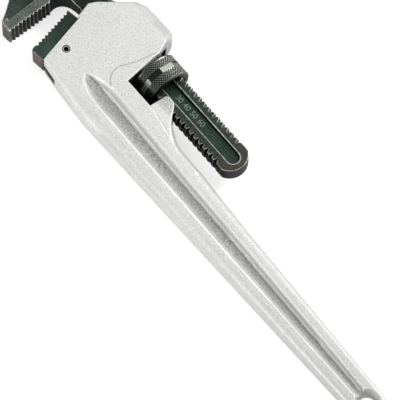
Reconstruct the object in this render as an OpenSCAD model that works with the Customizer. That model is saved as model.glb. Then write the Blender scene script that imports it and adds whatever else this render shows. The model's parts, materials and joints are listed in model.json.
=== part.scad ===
// Straight pipe wrench. The aluminium handle and its jaw housing are one casting.
// Origin: centre of the hanging hole on the mid-plane. +X runs along the handle to the jaws,
// +Y points to the mouth side and +Z out of one broad face.

/* [Handle] */
// Distance from the hanging hole to the heel jaw pin
handle_length = 420; // [300:1:600]
// Half width of the handle at the hanging hole
end_half_width = 14.8; // [13:0.1:20]
// Half width of the handle where it meets the head
neck_half_width = 22.6; // [19:0.1:26]
// How much further the back edge of the handle stands out where the shoulder starts
back_flare = 4.2; // [0:0.1:6]
// How far the centre of the rounded end lies beyond the hanging hole
end_reach = 5; // [0:0.5:10]
// Half thickness of the handle at the hanging hole
end_half_thick = 11; // [9:0.1:13]
// Edge rounding of the handle at the hanging hole
end_edge_round = 4; // [2:0.5:6]
// Edge rounding of the handle at the head
neck_edge_round = 10; // [6:0.5:12]
// Depth of the flute in each broad face of the handle
flute_depth = 6; // [3:0.1:7]
// Radius of the hanging hole
hang_hole_r = 8; // [5:0.1:9]
// Length of the straight wall in the hanging hole
hang_hole_land = 8; // [4:0.5:12]
// How far the hanging hole flares at each face
hang_hole_flare = 3.5; // [1:0.1:4]

/* [Head] */
// Half thickness of the head
head_half_thick = 16; // [14:0.1:19]
// Height of the raised rib round the nut window
rib_rise = 0.8; // [0.4:0.1:1.5]
// Length of the nut window along the shank
window_length = 31; // [28:0.5:36]
// Gap between the nut and the wall of the window
window_finger_gap = 4.9; // [3:0.1:8]
// Length of the collar along the shank, from the window to the heel pin
collar_length = 58; // [52:0.5:64]
// Thickness of the wall behind the shank
back_wall = 14; // [11:0.1:18]
// Width of the chamfer on the back of the head
back_chamfer = 12; // [8:0.1:13]
// How far the shoulder under the nut reaches beside the shank
shoulder_overlap = 9.2; // [5:0.1:11]
// Clearance of the shank in its slot on each broad side
slot_side_clear = 0.8; // [0.4:0.1:1.2]
// Clearance between the thread and the front wall at the pivot end of the slot
slot_front_clear = 1.6; // [1.2:0.1:2.5]
// Room for rocking between the thread and the front wall at the jaw end
slot_rock_room = 8; // [6:0.1:9]

/* [Heel jaw] */
// Length of the toothed face of the heel jaw
heel_length = 48.5; // [40:0.1:56]
// Height of the heel jaw above its seat
heel_height = 15; // [11:0.1:18]
// Half thickness of the heel jaw
heel_half_thick = 12; // [9:0.1:13]
// Half thickness of the tang of the heel jaw
tang_half_thick = 5.9; // [4:0.1:7]
// How far the end face of the heel jaw bulges
heel_crown = 1.2; // [0.4:0.1:3]
// Depth of the tang below the seat
tang_depth = 20; // [16:0.5:22]
// Slope of the heel jaw's tooth line across the handle, in degrees
heel_slope = 11.8; // [8:0.1:14]
// Slope of the seat under the heel jaw, in degrees
seat_slope = 13.4; // [12:0.1:17]
// Number of teeth on the heel jaw
heel_teeth = 11; // [8:1:14]
// Outer radius of the roll pin
pin_r = 3.47; // [2.5:0.01:4]
// Wall of the roll pin
pin_wall = 1.4; // [0.8:0.1:2]
// Radial clearance of the roll pin in its holes
pin_clear = 0.03; // [0.01:0.01:0.08]

/* [Hook jaw] */
// Distance from the heel pin to the hook jaw's tooth tips
jaw_reach = 45.8; // [42:0.1:60]
// Length of the toothed face of the hook jaw
hook_length = 44.8; // [38:0.1:50]
// Half thickness of the hook jaw across its teeth
hook_half_thick = 12.2; // [10:0.1:14]
// How far the forged body lies below the ground sides of the teeth
hook_side_step = 0.7; // [0.3:0.1:1.5]
// How far the end face of the hook bulges
nose_crown = 1.9; // [0.4:0.1:3]
// Height of the ground band beside the teeth
ground_band = 9.5; // [7:0.5:12]
// Height of the hook from tooth tips to crown
crown_height = 40; // [34:0.5:48]
// Number of teeth on the hook jaw
hook_teeth = 11; // [8:1:14]
// Depth of the jaw teeth
tooth_depth = 2.1; // [1.2:0.1:2.6]
// Radius of the throat of the hook jaw
throat_r = 12; // [9:0.5:13]
// Distance from the heel pin back to the end of the shank
shank_tail = 183; // [160:1:200]

/* [Shank thread] */
// Distance of the shank axis from the handle axis
shank_offset = 55.4; // [52:0.1:60]
// Outer radius of the thread
thread_r = 16.5; // [15:0.1:17]
// Depth of the thread
thread_depth = 2.9; // [2:0.1:3.2]
// Pitch of the thread
pitch = 6.35; // [5:0.05:7]
// Half thickness of the shank
shank_half_thick = 8.2; // [7:0.1:9]
// Half width of the long recess in each broad side of the shank
recess_half_width = 6.2; // [4:0.1:7]
// Depth of the long recess
recess_depth = 3.6; // [1:0.1:4]

/* [Adjusting nut] */
// Outer radius of the nut
nut_r = 22.4; // [20:0.1:24]
// Length of the nut
nut_length = 24.6; // [20:0.1:26]
// Radial and axial clearance between the two threads
thread_clear = 0.4; // [0.3:0.05:0.6]
// Gap between the nut and the collar
nut_gap = 1; // [0.6:0.1:2]
// Width of the smooth groove round the nut
nut_groove_width = 5.6; // [3:0.1:8]
// Depth of the smooth groove round the nut
nut_groove_depth = 1.3; // [0.6:0.1:1.8]
// Number of flats in the groove
nut_flats = 10; // [8:1:12]
// Chamfer at each end of the nut
nut_chamfer = 2; // [1:0.1:3]

/* [Springs] */
// Coil radius of the coil spring, to the middle of its wire
coil_r = 4; // [3:0.1:5]
// Wire radius of the coil spring
coil_wire_r = 0.65; // [0.4:0.05:0.9]
// Turns of the coil spring
coil_turns = 6; // [4:1:8]
// Depth of the blind pocket that holds the coil spring
coil_pocket_depth = 13; // [10:0.5:16]
// Thickness of the flat spring
leaf_thick = 1; // [0.6:0.1:1.4]
// Half width of the flat spring
leaf_half_width = 6; // [4.8:0.1:7]
// Length of the flat spring
leaf_length = 58; // [50:1:62]
// Room behind the shank for the flat spring
leaf_room = 4.8; // [4.4:0.1:6]
// Radius of the rivet that holds the flat spring
rivet_r = 2; // [1.5:0.1:2.5]
// Small gap between pieces that rest on each other
seat_gap = 0.2; // [0.1:0.05:0.3]

/* [Hidden] */
$fn = 48;
big = 400;

// Places along the handle
pin_x = handle_length;
collar_x = pin_x - collar_length;
window_x = collar_x - window_length;
neck_x = window_x + 18;
flare_x = window_x - 76;
nut_top_x = collar_x - nut_gap;
nut_x = nut_top_x - nut_length;
shank_end_x = pin_x - shank_tail;
tooth_x = pin_x + jaw_reach;
coil_x = collar_x + 30;
rivet_x = collar_x + 22;

// Places across the handle
pin_y = -5.5;
shank_y = -shank_offset;
window_y = shank_y + nut_r + window_finger_gap;
front_thread_y = shank_y + thread_r;
slot_back_y = shank_y - thread_r - leaf_room;
head_back_y = slot_back_y - back_wall;
slot_half = shank_half_thick + slot_side_clear;
core_r = thread_r - thread_depth;
throat_y = shank_y + 21.3;

// Linear taper of the handle from the hanging hole to the neck
function along(x, a, b) = a + (b - a) * min(x, neck_x) / neck_x;
function half_w(x) = along(x, end_half_width, neck_half_width);
function half_t(x) = along(x, end_half_thick, head_half_thick);
function edge_r(x) = along(x, end_edge_round, neck_edge_round);
function flare(x) = back_flare * lookup(x, [[-end_reach, 0], [0.25 * flare_x, 0.2], [0.7 * flare_x, 0.5],
    [flare_x, 1], [neck_x, 0]]);
function back_w(x) = half_w(x) + flare(x);
function unit(v) = v / norm(v);
function arc(c, r, a0, a1, steps) =
    [for (i = [0:steps]) c + r * [cos(a0 + (a1 - a0) * i / steps), sin(a0 + (a1 - a0) * i / steps)]];

// Skin of a loft: closed rings of n points each, joined by triangles, with flat ends
function loft_sides(rings, n) = concat(
    [for (k = [0:rings - 2]) for (i = [0:n - 1]) [k * n + i, (k + 1) * n + i, (k + 1) * n + (i + 1) % n]],
    [for (k = [0:rings - 2]) for (i = [0:n - 1]) [k * n + i, (k + 1) * n + (i + 1) % n, k * n + (i + 1) % n]]);
function loft_faces(rings, n) = concat(
    loft_sides(rings, n), [[for (i = [0:n - 1]) i]], [[for (i = [n - 1:-1:0]) (rings - 1) * n + i]]);
// Flat end of a long loft as a strip of triangles between its two edges
function strip(n, base) = [for (i = [0:n / 2 - 2])
    each [[base + i, base + i + 1, base + n - 2 - i], [base + i, base + n - 2 - i, base + n - 1 - i]]];
function turned(faces) = [for (f = faces) [f[2], f[1], f[0]]];

// Saw-tooth line from a to b with its tips on the line; side is +1 or -1 for the side of the metal
function teeth(a, b, count, depth, side) =
    let (t = unit(b - a), n = side * [-t[1], t[0]], p = norm(b - a) / count)
    [for (i = [0:count - 1]) each [a + t * p * i + n * depth, a + t * p * (i + 0.6)]];

// ---- handle ----

edge_steps = 4;
// Rounded half section of the handle, from the top middle round the +Y side
function edge_arc(w, t, r) = [for (i = [0:edge_steps])
    let (a = 90 * i / edge_steps) [w - r + r * sin(a), t - r + r * cos(a)]];
function edge_profile(w, t, r) =
    let (q = edge_arc(w, t, r))
    concat(q, [for (i = [edge_steps:-1:0]) [q[i][0], -q[i][1]]]);
function ring(x, inset) =
    let (back = edge_profile(back_w(x) - inset, half_t(x), edge_r(x)),
        front = edge_profile(half_w(x) - inset, half_t(x), edge_r(x)))
    concat([for (p = back) [x, -p[0], p[1]]], [for (i = [len(front) - 1:-1:0]) [x, front[i][0], front[i][1]]]);

module handle_beam() {
    stations = [[-end_reach, 0], [0.25 * flare_x, 0], [0.7 * flare_x, 0], [flare_x, 0], [neck_x, 0],
        [neck_x + 8, -0.3], [neck_x + 18, 1]];
    polyhedron([for (s = stations) each ring(s[0], s[1])], loft_faces(len(stations), 4 * (edge_steps + 1)));
}

module hanging_eye() {
    x = -end_reach;
    profile = edge_profile(half_w(x), half_t(x), edge_r(x));
    translate([x, 0, 0])
        rotate_extrude($fn = 96)
            polygon(concat([[0, half_t(x)]], profile, [[0, -half_t(x)]]));
}

// Outline of the casting seen from the mouth side, which gives it its thickness everywhere
module thickness_profile(rise) {
    fade_x = neck_x - 95;
    top = [[0, half_t(0)], [fade_x, half_t(fade_x)], [window_x, half_t(window_x) + rise],
        [neck_x, head_half_thick + rise], [pin_x + 60, head_half_thick + rise]];
    rotate([90, 0, 0])
        linear_extrude(height = big, center = true)
            polygon(concat(top, [for (i = [len(top) - 1:-1:0]) [top[i][0], -top[i][1]]]));
}

// One layer of the head: s is the share of the left rounding, b of the back chamfer, e an edge inset
function seat_point(d) = [pin_x + 5.1, 15.4] + d * [sin(seat_slope), -cos(seat_slope)];
function head_outline(s, b, e) =
    let (r = neck_edge_round * s, y = head_back_y, c = back_chamfer * b, w = neck_half_width)
    [[neck_x + 8, w + 0.3 - r], [neck_x + 28, w - 0.6 - r],
        [neck_x + 42, w - 2 - r * 0.9], [neck_x + 56, w - 4 - r * 0.7], [pin_x + 3.1 - e, 17 - r * 0.2],
        seat_point(0) - [e, 0], seat_point(51) - [e, 0], [pin_x + 23.1 - e, shank_y + 7.1],
        [pin_x + 20.4 - e, shank_y + 1.4], [pin_x - e, y + 5 + c * 0.65],
        [pin_x - 8.5 + 4.5 * b - e, y + 0.5 - 0.5 * b + c], [pin_x - 42 - 3 * b, y + c],
        [collar_x + 11 - b, y + 3.3 - 2.5 * b + c], [collar_x + 8.4, y + 6.5 - 4 * b + c * 0.92],
        [collar_x + 3.2, shank_y - 11], [collar_x, window_y]];

module head_block() {
    hull() {
        for (a = [0:90 / edge_steps:90]) {
            t = head_half_thick - neck_edge_round * (1 - sin(a));
            linear_extrude(height = 2 * t, center = true)
                polygon(head_outline(1 - cos(a), max(0, (t - 8) / (head_half_thick - 8)), a == 90 ? 1.3 : 0));
        }
    }
}

// Forked shoulder under the nut, with the same rounded edge as the handle it grows from
function shoulder_ring(d, z) =
    let (tip_y = front_thread_y - shoulder_overlap, w = window_x)
    [[flare_x, -back_w(flare_x) + 0.8 + d, z], [w - 50, -back_w(w - 50) - 0.7 + d, z],
        [w - 43, tip_y + 22.5 + d, z], [w - 34, tip_y + 19.2 + 0.8 * d, z], [w - 25, tip_y + 14.6 + 0.5 * d, z],
        [w - 19, tip_y + 9.8 + 0.3 * d, z], [w - 14.5, tip_y + 4.6 + 0.1 * d, z], [w - 11, tip_y + 1.2, z],
        [w - 8.5, tip_y, z], [w - 2, tip_y, z], [w, tip_y + 2, z],
        [w, window_y, z], [w + 40, window_y, z], [w + 40, -8, z], [flare_x, -8, z]];

module shoulder_block() {
    r = edge_r(window_x - 50);
    t = head_half_thick;
    steps = [for (i = [0:edge_steps]) 90 * i / edge_steps];
    levels = concat([for (a = steps) [r * (1 - sin(a)), -t + r * (1 - cos(a))]],
        [for (i = [edge_steps:-1:0]) let (a = steps[i]) [r * (1 - sin(a)), t - r * (1 - cos(a))]]);
    n = 15;
    difference() {
        intersection() {
            polyhedron([for (l = levels) each shoulder_ring(l[0], l[1])], loft_faces(len(levels), n));
            thickness_profile(0);
        }
        for (m = [0, 1]) mirror([0, 0, m])
            translate([window_x, 0, 0]) rotate([90, 0, -90])
                linear_extrude(height = 120)
                    polygon([[-window_y - 1.5, head_half_thick], [-window_y + 30, head_half_thick - 7.5],
                        [-window_y + 30, head_half_thick + 9]]);
    }
}

module window_rib() {
    border = [[neck_x + 17.5, -13.9], [neck_x + 22.5, -17.2], [neck_x + 26, -21.4], [neck_x + 27.6, -26],
        [neck_x + 27.6, -30.6], [neck_x + 24.4, -38.4], [neck_x + 21.4, -46.4], [neck_x + 19.6, -54.8],
        [neck_x + 18.4, -60.3], [collar_x + 4, shank_y - 11], [collar_x, window_y]];
    foot_x = neck_x - 95;
    intersection() {
        linear_extrude(height = big, center = true)
            polygon(concat(border, [[window_x, window_y], [window_x - 20, window_y + 3],
                [foot_x, -half_w(foot_x) + 6], [foot_x, -10]]));
        thickness_profile(rib_rise);
    }
}

// Flute: [x, mouth-side lip, mouth-side floor, back-side floor, back-side lip, depth share]
module flute() {
    k = end_half_width / 14.8;
    stations = [[neck_x + 41, -2.6, -3.2, -4.6, -5, 0.1], [neck_x + 36, 2.3, 0.2, -6.4, -8.2, 0.5],
        [neck_x + 25, 6, 3.6, -8.2, -12.2, 0.8], [neck_x + 12, 7.4, 4.4, -8.1, -14, 1],
        [neck_x - 45, 7.5, 4.2, -6.9, -12.7, 1.05], [neck_x - 170, 7.4, 4.1, -5.4, -9.6, 1],
        [neck_x - 289, 6.1, 3.2, -3.4, -6.7, 0.9], [hang_hole_r + 1, 5.6 * k, 2.8 * k, -2.4 * k, -5.2 * k, 0.75]];
    above = 1.5;
    points = [for (s = stations)
        let (d = s[5] * flute_depth, t = half_t(s[0]), g = above / d)
        each [[s[0], s[1] + (s[1] - s[2]) * g, t + above], [s[0], s[2], t - d], [s[0], s[3], t - d],
            [s[0], s[4] + (s[4] - s[3]) * g, t + above]]];
    polyhedron(points, loft_faces(len(stations), 4));
}

module shank_slot() {
    front = front_thread_y + slot_front_clear;
    linear_extrude(height = 2 * slot_half, center = true)
        polygon([[collar_x - 5, front], [pin_x + 30, front_thread_y + slot_rock_room],
            [pin_x + 30, slot_back_y], [collar_x - 5, slot_back_y]]);
    translate([window_x - 60, shank_y - 30, -slot_half])
        cube([61, 30 + thread_r + slot_front_clear, 2 * slot_half]);
}

module tang_slot() {
    linear_extrude(height = 2 * (tang_half_thick + 0.1), center = true)
        offset(delta = 0.1)
            polygon(concat(tang_outline(), [tang_corner, tang_corner + [8, 0], [pin_x + 20, 40], [tang_x + 2, 40]]));
}

// Space above the seat of the heel jaw
module heel_seat_cut() {
    linear_extrude(height = big, center = true)
        polygon([seat_point(-12), seat_point(51), seat_point(51) + [20, 3], [pin_x + 40, 40]]);
}

module handle() {
    color("gainsboro")
    difference() {
        union() {
            handle_beam();
            hanging_eye();
            head_block();
            shoulder_block();
            window_rib();
        }
        flute();
        mirror([0, 0, 1]) flute();
        shank_slot();
        tang_slot();
        heel_seat_cut();
        translate([pin_x, pin_y, 0]) cylinder(r = pin_r + pin_clear, h = big, center = true);
        cylinder(r = hang_hole_r, h = big, center = true);
        for (m = [0, 1]) mirror([0, 0, m])
            translate([0, 0, hang_hole_land / 2])
                cylinder(r1 = hang_hole_r, r2 = hang_hole_r + hang_hole_flare,
                    h = end_half_thick + 0.01 - hang_hole_land / 2);
        translate([coil_x, 0, 0]) rotate([90, 0, 0])
            translate([0, 0, -coil_pocket_y]) cylinder(r = coil_r + coil_wire_r + 0.5, h = coil_pocket_depth + 4);
        translate([rivet_x, slot_back_y + 1, 0]) rotate([90, 0, 0])
            cylinder(r = rivet_r + 0.02, h = back_wall + 2);
        translate([rivet_x, head_back_y - 0.01, 0]) rotate([-90, 0, 0])
            cylinder(r1 = rivet_r + 2.02, r2 = rivet_r + 0.02, h = 2);
    }
}

// ---- heel jaw ----

// The tang hangs from the seat line and is flush with the mouth side of the casting
tang_x = pin_x + 5 - tang_depth;
tang_corner = seat_point(46) + [3, 1];
function tang_outline() = [[tang_x + 2, 17.5], [tang_x - 1, 13], [tang_x - 2, -22], [tang_x + 6, -26]];

module heel_jaw() {
    seat_dir = [sin(seat_slope), -cos(seat_slope)];
    seat_out = [cos(seat_slope), sin(seat_slope)];
    base_a = seat_point(0.8) + seat_out * seat_gap;
    base_b = base_a + seat_dir * (heel_length + 1.2);
    tip_a = base_a + [heel_height, 1.6];
    tip_b = tip_a + heel_length * [sin(heel_slope), -cos(heel_slope)];
    row = teeth(tip_a + 0.035 * (tip_b - tip_a), tip_b, heel_teeth, tooth_depth, -1);
    color("darkslategray")
    difference() {
        union() {
            linear_extrude(height = 2 * heel_half_thick, center = true)
                polygon(concat([base_b, base_a, tip_a], [for (i = [1:len(row) - 1]) row[i]], [tip_b]));
            hull() {
                for (c = [0, heel_crown])
                    linear_extrude(height = 2 * (heel_half_thick - 0.55 * c), center = true)
                        polygon([base_a + 3 * seat_dir + [0.3, 0], base_a + [0.3, c], tip_a + [-0.3 - 0.3 * c, c],
                            tip_a + [-0.3, 0], tip_a + [-0.3, -3]]);
            }
            linear_extrude(height = 2 * tang_half_thick, center = true)
                polygon(concat(tang_outline(), [tang_corner, base_a + [3, -1], seat_point(0) + [-1, 0.5]]));
        }
        translate([pin_x, pin_y, 0]) cylinder(r = pin_r + pin_clear, h = big, center = true);
    }
}

module heel_jaw_pin() {
    color("dimgray")
    translate([pin_x, pin_y, 0])
        difference() {
            cylinder(r = pin_r, h = 2 * head_half_thick - 0.8, center = true);
            cylinder(r = pin_r - pin_wall, h = big, center = true);
            rotate([0, 0, 200]) translate([0, -0.35, -head_half_thick])
                cube([pin_r + 1, 0.7, 2 * head_half_thick]);
        }
}

// ---- thread ----

// Thread profile: share of a pitch along the axis, share of the depth, and the flank's outward side
thread_shape = [[0, 0, 1], [0.16, 0, -1], [0.28, 0.75, -1], [0.38, 1, -1], [0.74, 1, 1], [0.86, 0.78, 1]];
per_turn = len(thread_shape);
thread_start_x = shank_end_x + 12;
thread_turns = floor((tooth_x - 16 - thread_start_x) / pitch);
function thread_step(i, grow) =
    let (s = thread_shape[i % per_turn]) floor(i / per_turn) + s[0] + s[2] * grow / pitch;
function thread_radius(i, grow) = core_r + thread_depth * thread_shape[i % per_turn][1] + grow;
function helix_x(i, grow, turn) = thread_start_x + pitch * (thread_step(i, grow) + turn / 360);

// Shank blade: both threaded edges of a round thread, cut to the thickness of the shank
module shank_blade() {
    layers = 4;
    steps = thread_turns * per_turn;
    n = 2 * steps;
    points = [for (k = [0:layers])
        let (z = shank_half_thick * (2 * k / layers - 1))
        each concat(
            [for (i = [0:steps - 1]) let (r = thread_radius(i, 0), a = 180 - asin(z / r))
                [helix_x(i, 0, a), shank_y + r * cos(a), z]],
            [for (j = [0:steps - 1]) let (i = steps - 1 - j, r = thread_radius(i, 0), a = asin(z / r))
                [helix_x(i, 0, a), shank_y + r * cos(a), z]])];
    polyhedron(points, concat(loft_sides(layers + 1, n), strip(n, 0), turned(strip(n, layers * n))));
}

// ---- hook jaw ----

throat_c = [tooth_x + 2.4 - throat_r, shank_y + 14.7 + throat_r];
nose_y = 20.4;
function hook_outline() =
    let (x = tooth_x, c = crown_height, y0 = nose_y, p = hook_length / (hook_teeth - 0.6))
    concat(
        [for (i = [0:hook_teeth - 1]) each [[x, y0 - p * i], [x + tooth_depth, y0 - p * (i + 0.4)]]],
        arc(throat_c, throat_r, 6, -90, 10),
        [[x - 28, shank_y + core_r - 1], [x - 28, shank_y - core_r + 1],
            [x - 19, shank_y - core_r + 1], [x - 17, shank_y - thread_r + 0.3],
            [x + 0.2 * c, shank_y - thread_r], [x + 0.45 * c, shank_y - 14.5],
            [x + 0.7 * c, shank_y - 9.5], [x + 0.88 * c, shank_y - 1.5], [x + 0.98 * c, shank_y + 10],
            [x + c, shank_y + 22], [x + 0.96 * c, shank_y + 34], [x + 0.84 * c, shank_y + 46],
            [x + 0.66 * c, shank_y + 57], [x + 0.45 * c, shank_y + 68], [x + 0.34 * c, y0 - 0.8],
            [x + 0.26 * c, y0 + 0.4], [x + 1, y0]]);

module hook_head() {
    t = hook_half_thick - hook_side_step;
    x = tooth_x;
    top = [[x - 29, shank_half_thick + 0.1], [x - 14, shank_half_thick + 0.1], [x - 5, t], [x + crown_height * 0.75, t],
        [x + crown_height * 0.93, t - 2], [x + crown_height + 1, t - 5]];
    intersection() {
        linear_extrude(height = big, center = true) polygon(hook_outline());
        rotate([90, 0, 0])
            linear_extrude(height = big, center = true)
                polygon(concat(top, [for (i = [len(top) - 1:-1:0]) [top[i][0], -top[i][1]]]));
    }
    intersection() {
        linear_extrude(height = 2 * hook_half_thick, center = true) polygon(hook_outline());
        linear_extrude(height = big, center = true)
            polygon([[x - 5, nose_y + 5], [x + ground_band - 0.6, nose_y + 5],
                [x + ground_band + 1.6, nose_y - hook_length - 3], [x - 5, nose_y - hook_length - 3]]);
    }
}

// Rounded end face of the hook
module hook_nose() {
    x = tooth_x;
    y = nose_y;
    hull() {
        for (c = [0, nose_crown])
            linear_extrude(height = 2 * (hook_half_thick - 0.6 * c), center = true)
                polygon([[x + 2.4, y - 1.8], [x + 0.1 + 0.4 * c, y + 0.6 * c], [x + 0.5 + 1.6 * c, y + c],
                    [x + 10.4, y + 0.4 + 0.9 * c], [x + 13.6, y - 0.8 + 0.4 * c], [x + 12, y - 5]]);
    }
}

module shank_end() {
    linear_extrude(height = 2 * shank_half_thick, center = true)
        intersection() {
            translate([shank_end_x + core_r + 3, shank_y]) circle(r = core_r + 3, $fn = 96);
            translate([shank_end_x, shank_y - core_r - 1.2]) square([17, 2 * core_r + 2.4]);
        }
}

module long_recess() {
    x0 = shank_end_x + 6 + recess_half_width;
    x1 = tooth_x - 30;
    for (m = [0, 1]) mirror([0, 0, m])
        translate([0, shank_y, shank_half_thick])
            hull() {
                for (x = [x0, x1]) translate([x, 0, -recess_depth])
                    cylinder(r1 = recess_half_width - 1.2, r2 = recess_half_width + 0.4, h = recess_depth + 1,
                        $fn = 32);
            }
}

module hook_jaw() {
    color("darkslategray")
    difference() {
        union() {
            shank_blade();
            shank_end();
            hook_head();
            hook_nose();
        }
        long_recess();
    }
}

// ---- adjusting nut ----

// Space swept by the shank's thread, grown by the clearance
module thread_core() {
    around = 32;
    first = per_turn * (floor((nut_x - thread_start_x) / pitch) - 2);
    rows = per_turn * (ceil(nut_length / pitch) + 3);
    g = thread_clear;
    full = rows + per_turn;
    points = concat(
        [for (i = [0:full - 1]) let (r = thread_radius(first + i, g)) [helix_x(first + i, g, 0), r, 0]],
        [for (j = [1:around - 1]) for (i = [0:rows - 1])
            let (r = thread_radius(first + i, g), a = 360 * j / around)
            [helix_x(first + i, g, a), r * cos(a), r * sin(a)]],
        [[nut_x - 4 * pitch, 0, 0], [nut_x + nut_length + 4 * pitch, 0, 0]]);
    low = len(points) - 2;
    high = len(points) - 1;
    function at(j, i) = j == 0 ? i : j == around ? i + per_turn : full + (j - 1) * rows + i;
    sides = [for (j = [0:around - 1]) for (i = [0:rows - 2])
        each [[at(j, i), at(j, i + 1), at(j + 1, i + 1)], [at(j, i), at(j + 1, i + 1), at(j + 1, i)]]];
    low_cap = [for (j = [0:around - 1]) [low, at(j, 0), at(j + 1, 0)]];
    low_step = [for (i = [0:per_turn - 1]) [low, i + 1, i]];
    high_cap = [for (j = [0:around - 1]) [high, at(j + 1, rows - 1), at(j, rows - 1)]];
    high_step = [for (i = [0:per_turn - 1]) [high, rows - 1 + i, rows + i]];
    translate([0, shank_y, 0]) polyhedron(points, concat(sides, low_cap, low_step, high_cap, high_step));
}

module adjusting_nut() {
    c = nut_chamfer;
    color("dimgray")
    difference() {
        translate([nut_x, shank_y, 0]) rotate([0, 90, 0])
            difference() {
                rotate_extrude($fn = 96)
                    polygon([[0, 0], [nut_r - c, 0], [nut_r, c * 0.8], [nut_r, nut_length - c * 0.8],
                        [nut_r - c, nut_length], [0, nut_length]]);
                translate([0, 0, (nut_length - nut_groove_width) / 2])
                    difference() {
                        cylinder(r = nut_r + 5, h = nut_groove_width);
                        cylinder(r = (nut_r - nut_groove_depth) / cos(180 / nut_flats), h = nut_groove_width,
                            $fn = nut_flats);
                    }
                for (z = [-0.01, nut_length - 1.6])
                    translate([0, 0, z])
                        cylinder(r1 = z < 0 ? thread_r + 1.2 : core_r, r2 = z < 0 ? core_r : thread_r + 1.2,
                            h = 1.62);
            }
        thread_core();
    }
}

// ---- springs ----

coil_pocket_y = front_thread_y + slot_front_clear + coil_pocket_depth;
coil_length = coil_pocket_y - front_thread_y - 2 * seat_gap;

module coil_spring() {
    around = 14;
    sides = 6;
    rings = coil_turns * around + 1;
    lead = (coil_length - 2 * coil_wire_r) / (rings - 1);
    color("slategray")
    translate([coil_x, front_thread_y + seat_gap + coil_wire_r, 0])
        polyhedron([for (k = [0:rings - 1]) for (i = [0:sides - 1])
            let (a = 360 * k / around, b = 360 * i / sides, r = coil_r + coil_wire_r * cos(b))
            [r * cos(a), lead * k + coil_wire_r * sin(b), r * sin(a)]], loft_faces(rings, sides));
}

leaf_x = collar_x + 6;
module flat_spring() {
    low = slot_back_y + seat_gap;
    high = slot_back_y + leaf_room - leaf_thick - 0.4;
    run = leaf_length - 32;
    edge = concat([[leaf_x, low]],
        [for (i = [0:8]) [leaf_x + 24 + run * i / 8, low + (high - low) * (1 - cos(180 * i / 8)) / 2]],
        [[leaf_x + leaf_length, high - 0.6]]);
    color("slategray")
    difference() {
        linear_extrude(height = 2 * leaf_half_width, center = true)
            polygon(concat(edge, [for (i = [len(edge) - 1:-1:0]) edge[i] + [0, leaf_thick]]));
        translate([rivet_x, slot_back_y - 1, 0]) rotate([-90, 0, 0])
            cylinder(r = rivet_r + 1.3, h = leaf_room);
    }
}

module flat_spring_rivet() {
    head_y = slot_back_y + seat_gap + leaf_thick + 0.6;
    color("gray")
    translate([rivet_x, 0, 0]) rotate([-90, 0, 0]) {
        translate([0, 0, head_back_y + 0.1]) cylinder(r = rivet_r, h = head_y - head_back_y);
        translate([0, 0, head_back_y + 0.1]) cylinder(r1 = rivet_r + 1.9, r2 = rivet_r, h = 1.9);
        translate([0, 0, head_y]) cylinder(r = rivet_r + 2.4, h = 1);
    }
}

handle();
heel_jaw();
heel_jaw_pin();
hook_jaw();
adjusting_nut();
coil_spring();
flat_spring();
flat_spring_rivet();
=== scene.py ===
"""Looks of a straight pipe wrench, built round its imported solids."""

import json
import logging
import math
from dataclasses import dataclass, field
from enum import Enum

import bpy
from mathutils import Matrix, Vector

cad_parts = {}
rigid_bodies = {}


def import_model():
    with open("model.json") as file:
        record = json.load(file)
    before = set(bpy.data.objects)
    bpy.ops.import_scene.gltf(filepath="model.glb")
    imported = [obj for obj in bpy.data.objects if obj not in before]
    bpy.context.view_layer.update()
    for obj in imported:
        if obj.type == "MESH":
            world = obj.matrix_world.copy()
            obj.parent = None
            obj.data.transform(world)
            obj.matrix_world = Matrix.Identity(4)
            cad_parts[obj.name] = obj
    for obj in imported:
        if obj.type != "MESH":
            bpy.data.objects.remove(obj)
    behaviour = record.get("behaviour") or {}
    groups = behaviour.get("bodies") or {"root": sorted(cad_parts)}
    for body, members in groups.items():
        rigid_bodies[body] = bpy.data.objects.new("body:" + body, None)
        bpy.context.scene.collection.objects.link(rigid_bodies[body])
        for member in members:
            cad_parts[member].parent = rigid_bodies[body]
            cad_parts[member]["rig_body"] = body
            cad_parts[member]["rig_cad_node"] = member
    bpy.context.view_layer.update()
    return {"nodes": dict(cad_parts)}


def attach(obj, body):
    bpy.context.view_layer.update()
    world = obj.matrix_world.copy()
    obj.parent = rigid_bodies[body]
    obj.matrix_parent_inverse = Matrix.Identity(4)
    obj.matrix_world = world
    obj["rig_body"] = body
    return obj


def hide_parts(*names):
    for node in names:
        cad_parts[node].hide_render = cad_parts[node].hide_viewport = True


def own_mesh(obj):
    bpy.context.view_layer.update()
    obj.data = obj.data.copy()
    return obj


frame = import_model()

LOG = logging.getLogger("pipe_wrench")
MM = 0.001
MOST_TRIANGLES = 190000
# Points nearer to each other than this, in metres, are one
DOUBLES = 1e-6

# The wrench's own places, in millimetres. The handle's half thickness grows from its end to the neck
NECK_X = 349.0
END_HALF_THICK = 11.0
NECK_HALF_THICK = 16.0
SHANK_Y = -55.4
PIN_PLACE = (420.0, -5.5, 0.0)
SIDEWAYS = (0.0, 0.0, 1.0)

# Values of the noise between which speckle and rubbed patches come in
SPECKLE_NOISE = (0.42, 0.6)
PATCH_NOISE = (0.35, 0.55)


class Body(Enum):
    """Bodies that carry the pieces."""

    FRAME = "body"
    JAW = "jaw"
    NUT = "nut"


def linear(hex_colour: str) -> tuple[float, float, float, float]:
    """Turns an sRGB hex colour into linear values with full alpha.

    Args:
        hex_colour: six hex digits.

    Returns:
        Linear red, green, blue and alpha.
    """
    parts = [int(hex_colour[i : i + 2], 16) / 255 for i in (0, 2, 4)]
    red, green, blue = (c / 12.92 if c <= 0.04045 else ((c + 0.055) / 1.055) ** 2.4 for c in parts)
    return red, green, blue, 1.0


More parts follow.
